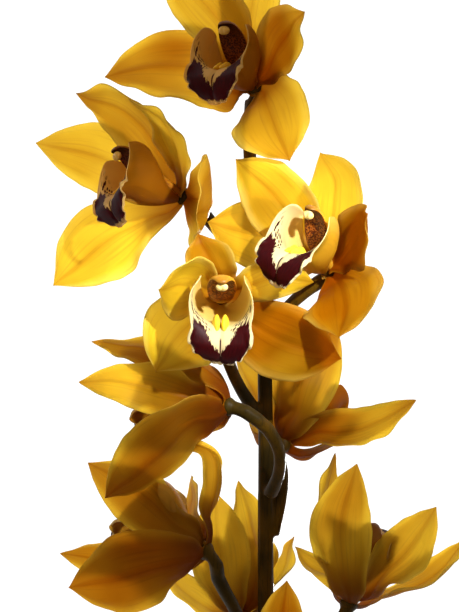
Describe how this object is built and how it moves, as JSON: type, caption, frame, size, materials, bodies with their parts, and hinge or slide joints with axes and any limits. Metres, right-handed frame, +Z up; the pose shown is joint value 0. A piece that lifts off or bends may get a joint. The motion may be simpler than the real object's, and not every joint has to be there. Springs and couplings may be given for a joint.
{
  "type": "cut orchid spray",
  "caption": "Cut cymbidium orchid spray lying on its back: a green stalk with yellow blooms, each with sepals, petals, a spotted lip and a column.",
  "frame": {"origin": "on the table, under the middle of the spray's bounding box", "axes": "+Y from the cut end to the top bloom, +Z up, away from the table"},
  "size_m": [0.2236, 0.588, 0.144],
  "materials": {
    "tepal": "satin",
    "lip": "satin",
    "stalk": "satin"
  },
  "bodies": {
    "root": {"bloom_01_upper_sepal": "tepal", "bloom_01_right_petal": "tepal", "bloom_01_left_petal": "tepal", "bloom_01_right_sepal": "tepal", "bloom_01_left_sepal": "tepal", "bloom_02_upper_sepal": "tepal", "bloom_02_right_petal": "tepal", "bloom_02_left_petal": "tepal", "bloom_02_right_sepal": "tepal", "bloom_02_left_sepal": "tepal", "bloom_03_upper_sepal": "tepal", "bloom_03_right_petal": "tepal", "bloom_03_left_petal": "tepal", "bloom_03_right_sepal": "tepal", "bloom_03_left_sepal": "tepal", "bloom_04_upper_sepal": "tepal", "bloom_04_right_petal": "tepal", "bloom_04_left_petal": "tepal", "bloom_04_right_sepal": "tepal", "bloom_04_left_sepal": "tepal", "bloom_05_upper_sepal": "tepal", "bloom_05_right_petal": "tepal", "bloom_05_left_petal": "tepal", "bloom_05_right_sepal": "tepal", "bloom_05_left_sepal": "tepal", "bloom_06_upper_sepal": "tepal", "bloom_06_right_petal": "tepal", "bloom_06_left_petal": "tepal", "bloom_06_right_sepal": "tepal", "bloom_06_left_sepal": "tepal", "bloom_07_upper_sepal": "tepal", "bloom_07_right_petal": "tepal", "bloom_07_left_petal": "tepal", "bloom_07_right_sepal": "tepal", "bloom_07_left_sepal": "tepal", "bloom_08_upper_sepal": "tepal", "bloom_08_right_petal": "tepal", "bloom_08_left_petal": "tepal", "bloom_08_right_sepal": "tepal", "bloom_08_left_sepal": "tepal", "bloom_09_upper_sepal": "tepal", "bloom_09_right_petal": "tepal", "bloom_09_left_petal": "tepal", "bloom_09_right_sepal": "tepal", "bloom_09_left_sepal": "tepal", "bloom_10_upper_sepal": "tepal", "bloom_10_right_petal": "tepal", "bloom_10_left_petal": "tepal", "bloom_10_right_sepal": "tepal", "bloom_10_left_sepal": "tepal", "bloom_01_lip": "lip", "bloom_02_lip": "lip", "bloom_03_lip": "lip", "bloom_04_lip": "lip", "bloom_05_lip": "lip", "bloom_06_lip": "lip", "bloom_07_lip": "lip", "bloom_08_lip": "lip", "bloom_09_lip": "lip", "flower_spike": "stalk"}
  },
  "joints": []
}
